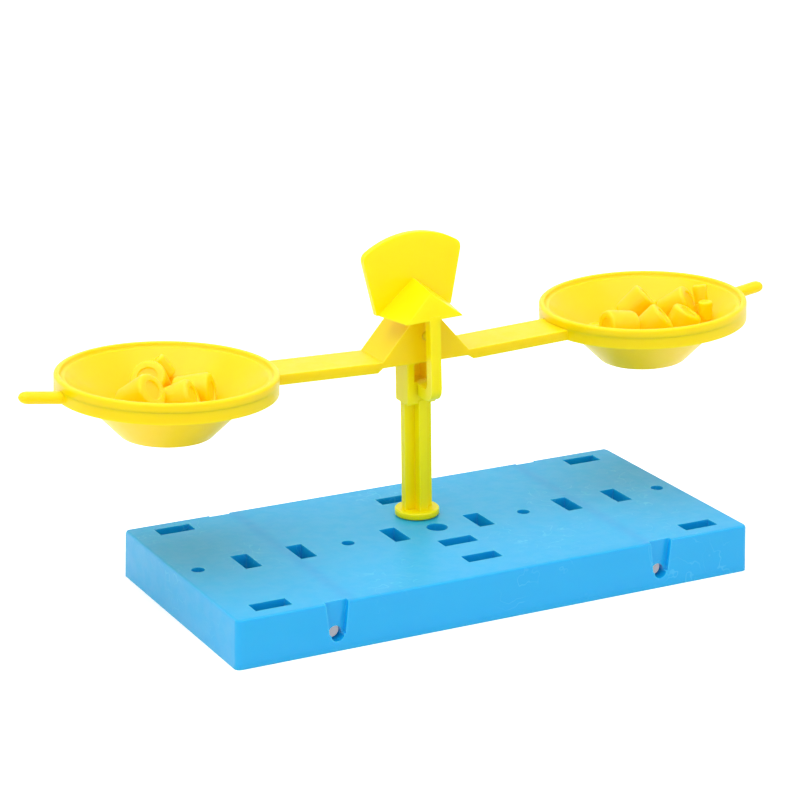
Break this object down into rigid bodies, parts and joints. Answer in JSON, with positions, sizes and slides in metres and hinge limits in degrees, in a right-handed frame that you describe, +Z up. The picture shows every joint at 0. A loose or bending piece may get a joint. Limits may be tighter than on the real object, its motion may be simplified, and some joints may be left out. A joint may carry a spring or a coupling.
{
  "type": "toy balance scale",
  "caption": "Toy beam balance: slotted base shell, plug-in post with pointer bracket, swinging beam with ring ends, lift-out round pans and loose cast weights.",
  "frame": {"origin": "centre of the outline, on the surface that the base stands on", "axes": "+X along the beam to its right arm, +Y to the back, +Z up"},
  "size_m": [0.2373, 0.0818, 0.0982],
  "materials": {
    "sky_blue_plastic": "soft-gloss injection-moulded polypropylene, slightly translucent",
    "yellow_plastic": "soft-gloss injection-moulded polypropylene, slightly translucent"
  },
  "bodies": {
    "stand": {"base": "sky_blue_plastic", "post": "yellow_plastic", "pointer_bracket": "yellow_plastic", "pivot_pin": "yellow_plastic"},
    "beam": {"beam": "yellow_plastic"},
    "pan_left": {"pan_left": "yellow_plastic"},
    "pan_right": {"pan_right": "yellow_plastic"},
    "weight_left_1": {"weight_left_1": "yellow_plastic"},
    "weight_left_2": {"weight_left_2": "yellow_plastic"},
    "weight_left_3": {"weight_left_3": "yellow_plastic"},
    "weight_left_4": {"weight_left_4": "yellow_plastic"},
    "weight_left_5": {"weight_left_5": "yellow_plastic"},
    "weight_right_1": {"weight_right_1": "yellow_plastic"},
    "weight_right_2": {"weight_right_2": "yellow_plastic"},
    "weight_right_3": {"weight_right_3": "yellow_plastic"},
    "weight_right_4": {"weight_right_4": "yellow_plastic"},
    "weight_right_5": {"weight_right_5": "yellow_plastic"},
    "weight_right_6": {"weight_right_6": "yellow_plastic"},
    "weight_right_7": {"weight_right_7": "yellow_plastic"},
    "weight_right_8": {"weight_right_8": "yellow_plastic"},
    "weight_right_9": {"weight_right_9": "yellow_plastic"}
  },
  "joints": [
    {"name": "beam_swing", "type": "hinge", "parent": "stand", "child": "beam", "pos_m": [0, 0.01027, 0.06969], "axis": [0, 1, 0], "range_deg": [-12, 12]},
    {"name": "pan_left_lift", "type": "slide", "parent": "beam", "child": "pan_left", "axis": [0.027, 0, 0.9996], "range_m": [0, 0.05]},
    {"name": "pan_right_lift", "type": "slide", "parent": "beam", "child": "pan_right", "axis": [-0.0427, 0, 0.9991], "range_m": [0, 0.05]},
    {"name": "weight_left_1_lift", "type": "slide", "parent": "pan_left", "child": "weight_left_1", "axis": [0.027, 0, 0.9996], "range_m": [0, 0.03]},
    {"name": "weight_left_2_lift", "type": "slide", "parent": "pan_left", "child": "weight_left_2", "axis": [-0.3113, -0.0594, 0.9485], "range_m": [0, 0.03]},
    {"name": "weight_left_3_lift", "type": "slide", "parent": "pan_left", "child": "weight_left_3", "axis": [0.1898, 0.0594, 0.98], "range_m": [0, 0.05]},
    {"name": "weight_left_4_lift", "type": "slide", "parent": "pan_left", "child": "weight_left_4", "axis": [0.027, 0, 0.9996], "range_m": [0, 0.03]},
    {"name": "weight_left_5_lift", "type": "slide", "parent": "pan_left", "child": "weight_left_5", "axis": [0.027, 0, 0.9996], "range_m": [0, 0.03]},
    {"name": "weight_right_1_lift", "type": "slide", "parent": "pan_right", "child": "weight_right_1", "axis": [-0.0427, 0, 0.9991], "range_m": [0, 0.05]},
    {"name": "weight_right_2_lift", "type": "slide", "parent": "pan_right", "child": "weight_right_2", "axis": [-0.0427, 0, 0.9991], "range_m": [0, 0.03]},
    {"name": "weight_right_3_lift", "type": "slide", "parent": "pan_right", "child": "weight_right_3", "axis": [0.1314, 0, 0.9913], "range_m": [0, 0.03]},
    {"name": "weight_right_4_lift", "type": "slide", "parent": "pan_right", "child": "weight_right_4", "axis": [0.2884, 0.5567, 0.7791], "range_m": [0, 0.06]},
    {"name": "weight_right_5_lift", "type": "slide", "parent": "pan_right", "child": "weight_right_5", "axis": [-0.0995, 0.3368, 0.9363], "range_m": [0, 0.03]},
    {"name": "weight_right_6_lift", "type": "slide", "parent": "pan_right", "child": "weight_right_6", "axis": [-0.0427, 0, 0.9991], "range_m": [0, 0.03]},
    {"name": "weight_right_7_lift", "type": "slide", "parent": "pan_right", "child": "weight_right_7", "axis": [0.1314, 0, 0.9913], "range_m": [0, 0.03]},
    {"name": "weight_right_8_lift", "type": "slide", "parent": "pan_right", "child": "weight_right_8", "axis": [-0.0427, 0, 0.9991], "range_m": [0, 0.03]},
    {"name": "weight_right_9_lift", "type": "slide", "parent": "pan_right", "child": "weight_right_9", "axis": [-0.0427, 0, 0.9991], "range_m": [0, 0.03]}
  ]
}
